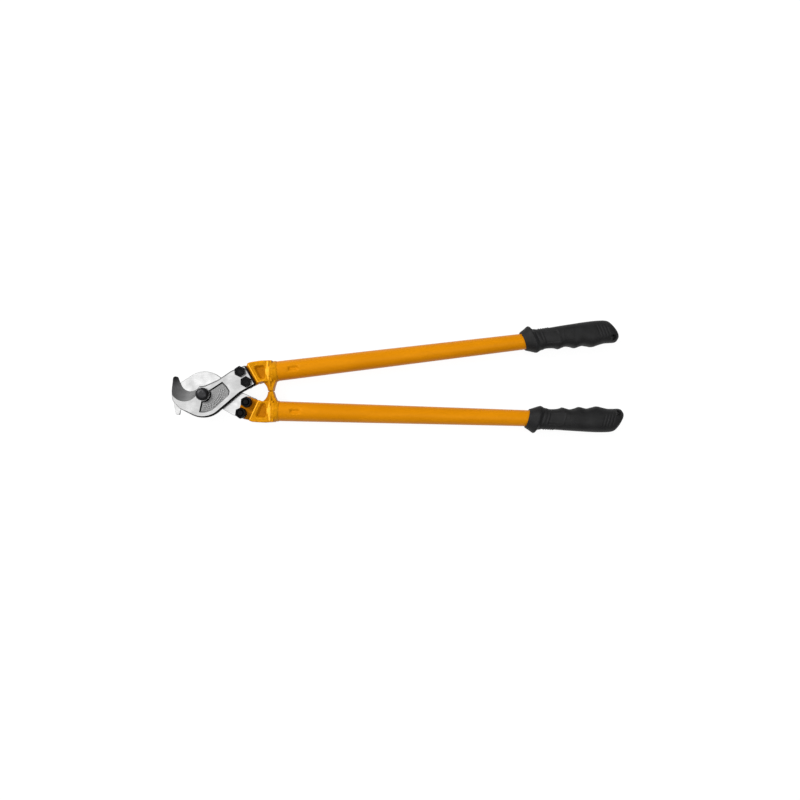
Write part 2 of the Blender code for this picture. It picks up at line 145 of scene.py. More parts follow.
def lofted(name, rings, closed=False):
    """Joins rings of points. The ends are capped, unless the last ring goes on to the first."""
    rings = np.asarray(rings, float)
    count, steps = rings.shape[:2]
    faces = []
    for i in range(count if closed else count - 1):
        a, b = i * steps, (i + 1) % count * steps
        faces += [(a + k, a + (k + 1) % steps, b + (k + 1) % steps, b + k) for k in range(steps)]
    if not closed:
        faces.append(tuple(reversed(range(steps))))
        faces.append(tuple(range((count - 1) * steps, count * steps)))
    return solid(name, rings.reshape(-1, 3), faces)


def full_turn(steps):
    return np.arange(steps) * 2 * math.pi / steps


def ring(x, y, radius, z, steps):
    """A circle of points about a line along Z. The radius may differ from point to point."""
    angles = full_turn(steps)
    return np.stack([x + radius * np.cos(angles), y + radius * np.sin(angles), np.full(steps, z)], 1)


def revolved(name, profile, x=0.0, y=0.0, steps=96, closed=False):
    """Turns (radius, height) pairs about a line along Z."""
    return lofted(name, [ring(x, y, radius, z, steps) for radius, z in profile], closed)


def drilled(name, radius, bottom, top, x=0.0, y=0.0, steps=96):
    """A plain round bar, for a hole or a shank."""
    return revolved(name, [(radius, bottom), (radius, top)], x, y, steps)


def evaluated(obj):
    """Applies the object's modifiers to its mesh."""
    graph = bpy.context.evaluated_depsgraph_get()
    mesh = bpy.data.meshes.new_from_object(obj.evaluated_get(graph))
    obj.modifiers.clear()
    old, obj.data = obj.data, mesh
    if isinstance(old, bpy.types.Mesh):
        bpy.data.meshes.remove(old)
    return obj


def rounded(corners, step=6):
    """The outline through these corners, each (x, y, radius), with an arc for every radius over 0."""
    points = []
    for i, (x, y, radius) in enumerate(corners):
        before, after = corners[i - 1], corners[(i + 1) % len(corners)]
        if radius <= 0:
            points.append((x, y))
            continue
        to_before = math.atan2(before[1] - y, before[0] - x)
        to_after = math.atan2(after[1] - y, after[0] - x)
        turn = math.remainder(to_after - to_before, 2 * math.pi)
        centre = to_before + turn / 2
        reach = radius / math.sin(abs(turn) / 2)
        centre_x, centre_y = x + reach * math.cos(centre), y + reach * math.sin(centre)
        swing = (math.pi - abs(turn)) * math.copysign(1, turn)
        start = centre + math.pi + swing / 2
        steps = max(3, math.ceil(abs(swing) / math.radians(step)))
        angles = [start - swing * k / steps for k in range(steps + 1)]
        points += [(centre_x + radius * math.cos(a), centre_y + radius * math.sin(a)) for a in angles]
    return points


def arc(x, y, radius, start, end, steps=40):
    angles = [math.radians(start + (end - start) * k / steps) for k in range(steps + 1)]
    return [(x + radius * math.cos(a), y + radius * math.sin(a)) for a in angles]


def inset(outline, distances):
    """A counterclockwise outline moved inwards by these distances, with mitred corners."""
    points = np.asarray(outline, float)
    ahead = np.roll(points, -1, 0) - points
    ahead /= np.linalg.norm(ahead, axis=1, keepdims=True)
    inward = np.stack([-ahead[:, 1], ahead[:, 0]], 1)
    before = np.roll(inward, 1, 0)
    mitre = (inward + before) / (1 + np.sum(inward * before, 1, keepdims=True))
    return points + mitre * np.broadcast_to(distances, len(points))[:, None]


def at_height(outline, z):
    return np.column_stack([np.asarray(outline, float), np.full(len(outline), float(z))])


def signed_area(outline):
    """Positive for a counterclockwise outline."""
    return sum(ax * by - bx * ay for (ax, ay), (bx, by) in zip(outline, outline[1:] + outline[:1])) / 2


def inside(centre, outline):
    """True within an outline, as seen from above."""
    crossed = False
    for (ax, ay), (bx, by) in zip(outline, outline[1:] + outline[:1]):
        if (ay > centre.y) != (by > centre.y):
            if centre.x < (bx - ax) * (centre.y - ay) / (by - ay) + ax:
                crossed = not crossed
    return crossed


def ramp(value, low, high):
    """0 below low, 1 above high, and eased between them."""
    x = np.clip((value - low) / (high - low), 0, 1)
    return x * x * (3 - 2 * x)


def window(value, low, high, soft):
    """1 between low and high, easing to 0 over soft on each side."""
    return ramp(value, low - soft, low) * (1 - ramp(value, high, high + soft))


def plate(name, outline, bottom, top, edge):
    """A flat outline with its thickness along Z and its edges rounded by that radius."""
    curve = bpy.data.curves.new(name, "CURVE")
    curve.dimensions = "2D"
    curve.fill_mode = "BOTH"
    curve.extrude = ((top - bottom) / 2 - edge) * MM
    curve.bevel_depth = edge * MM
    curve.bevel_resolution = 2
    curve.offset = -edge * MM
    spline = curve.splines.new("POLY")
    spline.points.add(len(outline) - 1)
    for point, (x, y) in zip(spline.points, outline):
        point.co = (x * MM, y * MM, 0, 1)
    spline.use_cyclic_u = True
    guide = object_of(name, curve)
    graph = bpy.context.evaluated_depsgraph_get()
    mesh = bpy.data.meshes.new_from_object(guide.evaluated_get(graph))
    bpy.data.objects.remove(guide)
    bpy.data.curves.remove(curve)
    mesh.transform(Matrix.Translation((0, 0, (top + bottom) / 2 * MM)))
    shape = bmesh.new()
    shape.from_mesh(mesh)
    bmesh.ops.remove_doubles(shape, verts=shape.verts, dist=1e-6)
    bmesh.ops.recalc_face_normals(shape, faces=shape.faces)
    shape.to_mesh(mesh)
    shape.free()
    return object_of(name, mesh)


def rod(name, path, radius):
    """A round bar with rounded ends through these points, for the ridges of a casting."""
    shape = bmesh.new()
    for a, b in zip(path, path[1:]):
        start, end = Vector(a) * MM, Vector(b) * MM
        turn = (end - start).to_track_quat("Z", "Y").to_matrix().to_4x4()
        bmesh.ops.create_cone(
            shape,
            cap_ends=True,
            segments=20,
            radius1=radius * MM,
            radius2=radius * MM,
            depth=(end - start).length,
            matrix=Matrix.Translation((start + end) / 2) @ turn,
        )
    for point in path:
        place = Matrix.Translation(Vector(point) * MM)
        bmesh.ops.create_icosphere(shape, subdivisions=2, radius=radius * MM, matrix=place)
    mesh = bpy.data.meshes.new(name)
    shape.to_mesh(mesh)
    shape.free()
    return object_of(name, mesh)


def boolean(obj, others, operation="DIFFERENCE"):
    """Cuts the other shapes from obj, or joins them to it, and removes them."""
    for other in others:
        modifier = obj.modifiers.new("boolean", "BOOLEAN")
        modifier.operation = operation
        modifier.solver = "EXACT"
        modifier.object = other
    evaluated(obj)
    for other in others:
        bpy.data.objects.remove(other)
    return obj


def joined(name, objects):
    """One mesh of several shapes, which may overlap."""
    shape = bmesh.new()
    for obj in objects:
        obj.data.transform(obj.matrix_world)
        shape.from_mesh(obj.data)
        bpy.data.objects.remove(obj)
    mesh = bpy.data.meshes.new(name)
    shape.to_mesh(mesh)
    shape.free()
    return object_of(name, mesh)


def smooth_shading(obj, angle=30):
    obj.data.shade_smooth()
    obj.data.set_sharp_from_angle(angle=math.radians(angle))


def finish_piece(obj, side, node, materials, body=None, angle=30):
    """Puts a piece on its arm, in the place of its CAD node."""
    for material in materials:
        obj.data.materials.append(material)
    smooth_shading(obj, angle)
    obj.matrix_world = ARMS[side] @ obj.matrix_world
    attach(obj, body or f"{side}_arm")
    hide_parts(node)
    return obj


def paint_faces(obj, choose):
    """Gives each face the material whose number choose(centre in mm, normal) returns."""
    for face in obj.data.polygons:
        face.material_index = choose(face.center / MM, face.normal)


# ---------------------------------------------------------------- materials


def new_material(name, color, metallic, roughness, **sockets):
    """A Principled material, and the handles to build on."""
    material = bpy.data.materials.new(name)
    material.use_nodes = True
    tree = material.node_tree
    shader = tree.nodes["Principled BSDF"]
    shader.inputs["Base Color"].default_value = (*color, 1.0)
    shader.inputs["Metallic"].default_value = metallic
    shader.inputs["Roughness"].default_value = roughness
    for socket, value in sockets.items():
        shader.inputs[socket.replace("_", " ")].default_value = value
    return material, tree, shader


def add_node(tree, kind, inputs, **settings):
    """A node whose inputs are set to values or linked to other nodes' outputs."""
    node = tree.nodes.new("ShaderNode" + kind)
    for key, value in settings.items():
        setattr(node, key, value)
    for key, value in inputs.items():
        if isinstance(value, bpy.types.NodeSocket):
            tree.links.new(value, node.inputs[key])
        else:
            node.inputs[key].default_value = value
    return node


def coordinates(tree, scale=(1, 1, 1), turn=0.0, seed=0.0):
    """Object coordinates in millimetres, stretched, turned and shifted."""
    inputs = {
        "Vector": add_node(tree, "TexCoord", {}).outputs["Object"],
        "Scale": [1000 * x for x in scale],
        "Rotation": (0, 0, turn),
        "Location": (seed, seed * 0.7, seed * 0.3),
    }
    return add_node(tree, "Mapping", inputs).outputs["Vector"]


def noise(tree, vector, scale, detail=2.0, roughness=0.5):
    inputs = {"Vector": vector, "Scale": scale, "Detail": detail, "Roughness": roughness}
    return add_node(tree, "TexNoise", inputs).outputs["Fac"]


def remap(tree, value, low, high, to_low, to_high):
    inputs = {"Value": value, "From Min": low, "From Max": high, "To Min": to_low, "To Max": to_high}
    return add_node(tree, "MapRange", inputs).outputs["Result"]


def blend_colors(tree, share, first, second):
    node = add_node(tree, "Mix", {}, data_type="RGBA")
    for name, value in (("Factor", share), ("A", first), ("B", second)):
        index = {"Factor": 0, "A": 6, "B": 7}[name]
        if isinstance(value, bpy.types.NodeSocket):
            tree.links.new(value, node.inputs[index])
        else:
            node.inputs[index].default_value = value if index == 0 else (*value, 1.0)
    return node.outputs[2]


def bump(tree, height, distance, strength, below=None):
    """A bump whose height of 1 is this many millimetres."""
    inputs = {"Height": height, "Distance": distance * MM, "Strength": strength}
    if below is not None:
        inputs["Normal"] = below
    return add_node(tree, "Bump", inputs).outputs["Normal"]


def wire(tree, shader, color, normal, roughness=None):
    """Links what a material is built of to its shader."""
    for name, output in (("Base Color", color), ("Roughness", roughness), ("Normal", normal)):
        if output is not None:
            tree.links.new(output, shader.inputs[name])


def math_node(tree, operation, *values):
    return add_node(tree, "Math", dict(enumerate(values)), operation=operation).outputs[0]


def ground_steel(name, color, turn, seed):
    """A ground face: fine parallel scratches, faint clouding and a slight grain."""
    material, tree, shader = new_material(name, color, 1.0, 0.3)
    along = coordinates(tree, (0.06, 1.6, 1.0), turn, seed)
    lines = noise(tree, along, 1.3, 4.0, 0.65)
    clouds = noise(tree, coordinates(tree, seed=seed), 0.09, 3.0)
    grain = noise(tree, coordinates(tree, seed=seed + 9), 1.1, 3.0)
    darker = tuple(0.80 * c for c in color)
    lighter = tuple(min(1.0, 1.08 * c) for c in color)
    share = math_node(tree, "MULTIPLY", lines, clouds)
    tint = blend_colors(tree, remap(tree, share, 0.12, 0.40, 0.0, 1.0), darker, lighter)
    scratches = bump(tree, lines, 0.012, 0.5, bump(tree, grain, 0.01, 0.4))
    wire(tree, shader, tint, scratches, remap(tree, clouds, 0.3, 0.7, 0.18, 0.26))
    return material


def shaded_edge_steel(name, color, seed):
    """Edges with painted shade: black where they face the grips or away from the handle, the side away
    from the light, and bare elsewhere.
    """
    material, tree, shader = new_material(name, color, 1.0, 0.45)
    facing = add_node(tree, "TexCoord", {}).outputs["Normal"]
    turned = add_node(tree, "VectorMath", {0: facing, 1: (0.8, -0.6, 0.0)}, operation="DOT_PRODUCT")
    edge_noise = noise(tree, coordinates(tree, seed=seed), 0.7, 3.0)
    shift = remap(tree, edge_noise, 0.3, 0.7, -0.06, 0.06)
    value = math_node(tree, "ADD", turned.outputs["Value"], shift)
    share = remap(tree, value, -0.05, 0.42, 0.0, 1.0)
    # Painted shade: faces turned away from the light, towards (0.8, -0.6) in the arm's frame, go nearly
    # black.
    tint = blend_colors(tree, share, color, (0.006, 0.006, 0.006))
    wire(tree, shader, tint, bump(tree, edge_noise, 0.03, 0.4), remap(tree, share, 0.0, 1.0, 0.35, 0.7))
    return material


def bevel_steel(name, seed):
    """The hook's ground bevel: dark, with grinding lines that run round the notch and painted shade
    that deepens towards the hook's tip.
    """
    material, tree, shader = new_material(name, (0.2, 0.2, 0.2), 1.0, 0.5)
    source = add_node(tree, "TexCoord", {}).outputs["Object"]
    centre = (BEVEL_X * MM, BEVEL_Y * MM, 0)
    offset = add_node(tree, "VectorMath", {0: source, 1: centre}, operation="SUBTRACT").outputs[0]
    parts = add_node(tree, "SeparateXYZ", {"Vector": offset}).outputs
    angle = math_node(tree, "ARCTAN2", parts[1], parts[0])
    flat = add_node(tree, "CombineXYZ", {"X": parts[0], "Y": parts[1]}).outputs[0]
    reach = add_node(tree, "VectorMath", {0: flat}, operation="LENGTH").outputs["Value"]
    polar = add_node(tree, "CombineXYZ", {"X": angle, "Y": reach, "Z": parts[2]}).outputs[0]
    inputs = {"Vector": polar, "Scale": (1.6, 1500, 900), "Location": (seed, 0, 0)}
    lines = noise(tree, add_node(tree, "Mapping", inputs).outputs[0], 1.0, 3.0, 0.6)
    clouds = noise(tree, coordinates(tree, seed=seed), 0.14, 3.0)
    # Painted shade: nearly black at the hook's tip, lighter towards the pivot, as the slanted bevel
    # takes the light.
    along = remap(tree, parts[0], -14 * MM, 16 * MM, 0.0, 1.0)
    shade = blend_colors(tree, along, (0.085, 0.085, 0.086), (0.21, 0.21, 0.21))
    tip = remap(tree, parts[1], 2 * MM, 13 * MM, 0.0, 1.0)
    tip_shade = blend_colors(tree, tip, shade, (0.022, 0.022, 0.023))
    mottling = remap(tree, clouds, 0.35, 0.7, 0.0, 0.15)
    mottled = blend_colors(tree, mottling, tip_shade, (0.2, 0.2, 0.2))
    streaks = remap(tree, lines, 0.3, 0.75, 0.0, 0.3)
    streaked = blend_colors(tree, streaks, mottled, (0.04, 0.04, 0.04))
    roughness = remap(tree, lines, 0.3, 0.7, 0.56, 0.68)
    wire(tree, shader, streaked, bump(tree, lines, 0.03, 0.6), roughness)
    return material


def black_steel(name, seed, color=(0.004, 0.004, 0.0043), roughness=0.42):
    """Black oxide: slightly uneven, with a soft sheen and rubbed places."""
    material, tree, shader = new_material(name, color, 0.85, roughness, Specular_IOR_Level=0.2)
    clouds = noise(tree, coordinates(tree, seed=seed), 0.35, 4.0)
    grain = noise(tree, coordinates(tree, seed=seed + 3), 3.5, 3.0)
    rubbed = remap(tree, clouds, 0.55, 0.8, 0.0, 0.55)
    tint = blend_colors(tree, rubbed, color, tuple(3.2 * c for c in color))
    uneven = remap(tree, grain, 0.3, 0.7, roughness - 0.08, roughness + 0.12)
    wire(tree, shader, tint, bump(tree, grain, 0.03, 0.6), uneven)
    return material


def recess_steel(name, seed):
    """The rough, unground floor of the blade's sunken field."""
    material, tree, shader = new_material(name, (0.16, 0.16, 0.16), 0.9, 0.55)
    grain = noise(tree, coordinates(tree, seed=seed), 1.6, 4.0, 0.65)
    pits = noise(tree, coordinates(tree, seed=seed + 5), 0.55, 2.0)
    share = remap(tree, grain, 0.35, 0.65, 0.0, 1.0)
    tint = blend_colors(tree, share, (0.08, 0.08, 0.08), (0.24, 0.24, 0.24))
    wire(tree, shader, tint, bump(tree, math_node(tree, "ADD", grain, pits), 0.18, 0.8))
    return material


PAINT_SHEEN = (1.0, 0.62, 0.14, 1.0)


def tube_paint(name, seed):
    """Smooth sprayed paint with faint orange peel, small specks and slight variation along the tube."""
    color = (0.50, 0.175, 0.001)
    sheen = {"Specular_IOR_Level": 0.14, "Specular_Tint": PAINT_SHEEN}
    material, tree, shader = new_material(name, color, 0.0, 0.42, **sheen)
    clouds = noise(tree, coordinates(tree, (0.25, 1, 1), seed=seed), 0.05, 3.0)
    peel = noise(tree, coordinates(tree, seed=seed), 0.55, 2.0)
    specks = noise(tree, coordinates(tree, seed=seed + 4), 2.8, 2.0)
    share = remap(tree, clouds, 0.35, 0.65, 0.0, 1.0)
    tint = blend_colors(tree, share, (0.475, 0.166, 0.001), (0.525, 0.186, 0.0014))
    dust = blend_colors(tree, remap(tree, specks, 0.68, 0.85, 0.0, 0.25), tint, (0.35, 0.11, 0.001))
    roughness = remap(tree, clouds, 0.3, 0.7, 0.32, 0.42)
    wire(tree, shader, dust, bump(tree, peel, 0.05, 0.35), roughness)
    return material


def casting_paint(name, seed):
    """Paint over a rough casting, with a painted highlight on its ridges and painted shade in its
    corners and pockets.
    """
    color = (0.50, 0.185, 0.0015)
    sheen = {"Specular_IOR_Level": 0.1, "Specular_Tint": PAINT_SHEEN}
    material, tree, shader = new_material(name, color, 0.0, 0.4, **sheen)
    lumps = noise(tree, coordinates(tree, seed=seed), 0.32, 3.0, 0.55)
    grain = noise(tree, coordinates(tree, seed=seed + 6), 1.5, 3.0, 0.6)
    edges = add_node(tree, "NewGeometry", {}).outputs["Pointiness"]
    place = add_node(tree, "SeparateXYZ", {"Vector": coordinates(tree)}).outputs
    height = math_node(tree, "ABSOLUTE", place[2])
    # Masks for a painted highlight on the ridge tops and painted shade deep in the pockets, both kept
    # off the collar.
    body = remap(tree, place[0], 88.6, 90.4, 1.0, 0.0)
    high = remap(tree, height, BODY_HALF + 0.35, BODY_HALF + 0.95, 0.0, 0.75)
    pocket_shade = remap(tree, height, BODY_HALF - 3.4, BODY_HALF - 0.6, 0.9, 0.0)
    top = math_node(tree, "MULTIPLY", high, body)
    low = math_node(tree, "MULTIPLY", pocket_shade, body)
    share = remap(tree, lumps, 0.35, 0.65, 0.0, 1.0)
    base = blend_colors(tree, share, (0.39, 0.15, 0.001), (0.51, 0.20, 0.0015))
    # Painted shade in the hollow corners, found by pointiness.
    corner_shade = blend_colors(tree, remap(tree, edges, 0.40, 0.495, 1.0, 0.0), base, (0.20, 0.062, 0.0005))
    # Painted highlight along the ridges, found by pointiness.
    ridges = blend_colors(tree, remap(tree, edges, 0.505, 0.58, 0.0, 0.75), corner_shade, (0.74, 0.34, 0.018))
    # Painted shade deep in the pockets.
    sunken = blend_colors(tree, low, ridges, (0.30, 0.095, 0.0004))
    # Painted highlight on the ridge tops.
    rubbed = blend_colors(tree, top, sunken, (0.84, 0.40, 0.03))
    surface = bump(tree, lumps, 0.35, 0.5, bump(tree, grain, 0.06, 0.5))
    wire(tree, shader, rubbed, surface, remap(tree, grain, 0.3, 0.7, 0.34, 0.5))
    return material


def grip_rubber(name, seed):
    """Matt moulded rubber with a fine spark-eroded grain, slightly dusty."""
    color = (0.006, 0.006, 0.006)
    material, tree, shader = new_material(name, color, 0.0, 0.58, Specular_IOR_Level=0.2)
    grain = noise(tree, coordinates(tree, seed=seed), 2.4, 3.0, 0.6)
    clouds = noise(tree, coordinates(tree, seed=seed + 2), 0.08, 4.0)
    share = remap(tree, clouds, 0.35, 0.7, 0.0, 1.0)
    tint = blend_colors(tree, share, (0.0045, 0.0045, 0.0047), (0.0095, 0.0095, 0.0098))
    roughness = remap(tree, grain, 0.3, 0.7, 0.52, 0.74)
    wire(tree, shader, tint, bump(tree, grain, 0.07, 0.6), roughness)
    return material


# ---------------------------------------------------------------- blades


def blade_outline():
    return rounded(
        [
            (57.0, 36.2, 2.3),
            (38.0, 29.6, 25),
            (20.5, 18.4, 40),
            (2.0, 11.2, 12),
            (-10.0, 10.6, 0),
            (-18.0, NOTCH_Y, 0),
            (-30.8, 15.6, 0),
            (-34.2, 25.6, 1.8),
            (-38.8, 25.2, 2.6),
            (-41.55, 9.0, 60),
            (-41.2, -6.0, 10),
            (-31.5, -17.6, 12),
            (2.5, -37.3, 31.0),
            (49.3, -0.6, 40),
            (70.5, 9.7, 2.4),
        ],
        step=3,
    )


def recess_outline():
    outer = [(35.8, 2.5), (34.6, -3.0)] + arc(0, 0, RECESS_OUTER, -48, -104)
    inner = arc(0, 0, RECESS_INNER, -104, 30.5)
    return ([(26.3, 15.5), (32.6, 8.4)] + outer + inner)[::-1]


def bevel_circle(share):
    """The slanted cone of the bevel: its circle at this share of the way from the edge to the face."""
    edge = BLADE_BOTTOM + BEVEL_LAND
    return (
        NOTCH_X + (BEVEL_X - NOTCH_X) * share,
        NOTCH_Y + (BEVEL_Y - NOTCH_Y) * share,
        NOTCH_RADIUS + (BEVEL_RADIUS - NOTCH_RADIUS) * share,
        edge + (BLADE_TOP - edge) * share,
    )


def bevel_cutter():
    """The bevel's cone, carried on past both ends of the cut."""
    return lofted("bevel", [ring(*bevel_circle(share), steps=180) for share in (-0.03, 1.15)])


def on_bevel(centre):
    edge = BLADE_BOTTOM + BEVEL_LAND
    x, y, r, _ = bevel_circle((centre.z - edge) / (BLADE_TOP - edge))
    return centre.z > edge + 0.02 and abs(math.hypot(centre.x - x, centre.y - y) - r) < 0.12


def diamond(x, y, turn, length, width, bottom, top):
    """A raised lozenge with sloping sides."""
    rings = []
    for height, share in ((bottom, 1.0), (top, 0.55)):
        corners = [(length / 2, 0), (0, width / 2), (-length / 2, 0), (0, -width / 2)]
        corner_ring = []
        for u, v in corners:
            u, v = u * share, v * share
            along = u * math.cos(turn) - v * math.sin(turn)
            across = u * math.sin(turn) + v * math.cos(turn)
            corner_ring.append((x + along, y + across, height))
        rings.append(corner_ring)
    return lofted("diamond", rings)


def blade_pattern():
    """A plain band of lozenges in the sunken field, in staggered rows about a shared centre."""
    floor = BLADE_TOP - RECESS_DEPTH
    pieces = []
    for row, radius in enumerate(PATTERN_RADII):
        for k in range(17 - row % 2):
            angle = math.radians(-92 + (k + row % 2 / 2) * 5.4)
            x, y = PATTERN_X + radius * math.cos(angle), PATTERN_Y + radius * math.sin(angle)
            pieces.append(diamond(x, y, angle, 2.6, 2.0, floor - 0.15, BLADE_TOP - 0.15))
    return joined("pattern", pieces)


def blade_plate(name):
    """The blade's slab, with a broad chamfer round its face that narrows at the hook."""
    outline = np.array(blade_outline())
    chamfer = 0.7 + 1.1 * ramp(outline[:, 0], -32.0, -22.0)
    rings = [
        at_height(inset(outline, 0.35), BLADE_BOTTOM),
        at_height(outline, BLADE_BOTTOM + 0.35),
        np.column_stack([outline, BLADE_TOP - chamfer]),
        at_height(inset(outline, chamfer), BLADE_TOP),
    ]
    return lofted(name, rings)


def recess_floor():
    return inset(recess_outline(), RECESS_DRAFT).tolist()


def recess_cutter():
    """The sunken field's hollow, with drafted walls."""
    outline = recess_outline()
    rings = [
        at_height(recess_floor(), BLADE_TOP - RECESS_DEPTH),
        at_height(outline, BLADE_TOP),
        at_height(inset(outline, -RECESS_DRAFT), BLADE_TOP + RECESS_DEPTH),
    ]
    return lofted("recess", rings)


def make_blade(side):
    name = BLADES[side]
    obj = blade_plate(name)
    under, over = BLADE_BOTTOM - 1, BLADE_TOP + 1
    cutters = [
        drilled("notch", NOTCH_RADIUS, under, over, NOTCH_X, NOTCH_Y, 180),
        bevel_cutter(),
        recess_cutter(),
        drilled("pivot_hole", PIVOT_RADIUS + PIVOT_CLEARANCE, under, over),
    ]
    for x, y in BOLT_PLACES.values():
        cutters.append(drilled("bolt_hole", BOLT_RADIUS + BOLT_CLEARANCE, under, over, x, y))
    boolean(obj, cutters)
    boolean(obj, [blade_pattern()], "UNION")
    tone = {"upper": (0.44, 0.44, 0.44), "lower": (0.51, 0.51, 0.51)}[side]
    materials = [
        ground_steel(f"{name}_face", tone, math.radians(-28), 3.0 if side == "upper" else 31.0),
        bevel_steel(f"{name}_bevel", 2.0 if side == "upper" else 17.0),
        shaded_edge_steel(f"{name}_edge", (0.2, 0.2, 0.2), 5.0),
        recess_steel(f"{name}_field", 7.0 if side == "upper" else 23.0),
    ]
    finish_piece(obj, side, name, materials, angle=12)
    paint_faces(obj, blade_surface)


def blade_surface(centre, normal):
    """0 the ground faces, 1 the bevel, 2 the edges and the field's walls, which carry painted shade, 3
    the sunken field.
    """
    if on_bevel(centre) and normal.z > 0.1:
        return 1
    sunk = BLADE_TOP - RECESS_DEPTH - 0.1 < centre.z < BLADE_TOP - 0.02
    if sunk and inside(centre, recess_outline()):
        # The field's drafted walls take the edge material, with its painted shade on the walls that
        # face away from the light.
        if not inside(centre, recess_floor()):
            return 2
        return 0 if normal.z > 0.95 and centre.z > BLADE_TOP - 0.3 else 3
    return 0 if abs(normal.z) > 0.9 else 2


# ---------------------------------------------------------------- sockets


def body_outline():
    return rounded(
        [
            (59.5, 37.6, 1.5),
            (73.0, 10.9, 1.5),
            (78.8, 12.8, 3),
            (93.0, 12.8, 0),
            (93.0, 41.0, 0),
            (79.0, 41.2, 20),
            (64.5, 39.8, 8),
        ]
    )


def horn_outline():
    hollow = arc(71.3, 0, 14.9, 56.8, 4)
    rest = [(87.2, 0.15, 0), (93.0, 0.15, 1.2), (94.9, 7.2, 6), (97.9, 14.5, 0), (97.0, 20.0, 0)]
    return hollow + rounded([(86.1, 1.0, 0)] + rest + [(79.0, 20.0, 0)])[1:]


def tongue_outline():
    return rounded(
        [
            (75.0, 38.0, 0),
            (64.0, 38.0, 8),
            (56.0, 36.2, 10),
            (47.0, 32.9, 6),
            (43.2, 27.5, 6),
            (48.0, 19.5, 12),
            (51.6, 9.4, 5),
            (57.8, 4.8, 5),
            (75.0, 12.0, 0),
        ]
    )


def pocket_cutter(side):
    """The sunken pocket of one side, with drafted walls."""
    outline = rounded([(66.6, 34.8, 4), (76.6, 15.2, 4), (84.6, 15.0, 4), (85.0, 35.8, 4)])
    if signed_area(outline) < 0:
        outline = outline[::-1]
    rings = [
        at_height(inset(outline, 3.0), side * (BODY_HALF - POCKET_DEPTH)),
        at_height(outline, side * (BODY_HALF + 0.05)),
        at_height(outline, side * (BODY_HALF + 3)),
    ]
    return lofted("pocket", rings)


def collar_profile():
    """(radius, place along the tube) of the spigot in the tube, the collar and the neck behind it."""
    groove_start, groove_end = CRIMP_PLACE - 8.5, CRIMP_PLACE + 8.5
    return [
        (0.5, 38.0),
        (9.4, 38.0),
        (10.3, 37.0),
        (10.4, groove_end + 1),
        (9.0, groove_end),
        (9.0, groove_start),
        (10.6, groove_start - 1),
        (10.6, COLLAR_END),
        (13.1, COLLAR_END),
        (13.5, COLLAR_END - 0.6),
        (SOCKET_TOP_RADIUS, COLLAR_END - 2.2),
        (SOCKET_TOP_RADIUS, COLLAR_END - 7.4),
        (13.0, COLLAR_END - 8.6),
        (12.4, COLLAR_START - 0.6),
        (11.2, COLLAR_START - 6),
        (0.5, COLLAR_START - 6),
    ]


# A ridge's radius, then its points: x, y and the height as a share of the body's.
SOCKET_RIDGES = (
    (1.1, (62.3, 36.0, 1), (74.2, 12.9, 1)),
    (0.9, (62.3, 36.2, 1), (67.0, 38.4, 0.95), (86.0, 39.4, 0.95)),
    (1.7, (88.2, 38.4, 1), (87.6, 30.0, 1), (87.7, 21.0, 1), (88.7, 13.0, 0.88)),
    (2.0, (88.9, 13.4, 0.86), (89.3, 7.0, 0.62), (89.8, 2.4, 0.6)),
    (1.0, (74.4, 13.2, 1), (80.6, 13.9, 0.95), (87.2, 14.2, 0.88)),
)


def socket_ridges():
    """The raised edges of the casting, in front and behind."""
    ridges = []
    for z in (BODY_HALF - 0.1, 0.1 - BODY_HALF):
        for radius, *path in SOCKET_RIDGES:
            ridges.append(rod("ridge", [(x, y, z * share) for x, y, share in path], radius))
    return ridges


def make_socket(side):
    name = f"{side}_socket"
    body = plate(name, body_outline(), -BODY_HALF, BODY_HALF, 1.0)
    boolean(body, [pocket_cutter(1), pocket_cutter(-1)])
    tongue = plate("tongue", tongue_outline(), TONGUE_BOTTOM, TONGUE_TOP, 0.8)
    under, over = TONGUE_BOTTOM - 2, TONGUE_TOP + 2
    radius = BOLT_RADIUS + TONGUE_CLEARANCE
    boolean(tongue, [drilled("hole", radius, under, over, x, y, 48) for x, y in BOLT_PLACES.values()])
    collar = revolved("collar", collar_profile(), steps=96)
    collar.matrix_world = HANDLE @ Matrix.Rotation(math.pi / 2, 4, "Y")
    bpy.context.view_layer.update()
    horn = plate("horn", horn_outline(), -HORN_HALF, HORN_HALF, 1.4)
    obj = joined(name, [body, tongue, horn, collar] + socket_ridges())
    remesh = obj.modifiers.new("remesh", "REMESH")
    remesh.mode = "VOXEL"
    remesh.voxel_size = 0.45 * MM
    soften = obj.modifiers.new("soften", "SMOOTH")
    soften.factor = 0.5
    soften.iterations = 6
    evaluated(obj)
    materials = [casting_paint(f"{name}_paint", 4.0 if side == "upper" else 41.0)]
    finish_piece(obj, side, name, materials, angle=60)


# ---------------------------------------------------------------- tubes


def tube_radius(s):
    return TUBE_RADIUS - TUBE_TAPER * s


def crimp_depth(s, across):
    """A smooth, elongated dent."""
    along = 1 - np.abs(2 * (s - CRIMP_PLACE) / CRIMP_LENGTH)
    sideways = 1 - np.abs(2 * across / CRIMP_WIDTH)
    return CRIMP_DEPTH * ramp(along, 0.0, 0.5) * ramp(sideways, 0.0, 0.95)


def tube_ring(s, depth, steps=144):
    """A ring of the tube, this far below its outer surface."""
    angles = full_turn(steps)
    base = tube_radius(s)
    radius = base - depth - crimp_depth(s, base * np.cos(angles))
    return np.stack([np.full(steps, s), radius * np.cos(angles), radius * np.sin(angles)], 1)


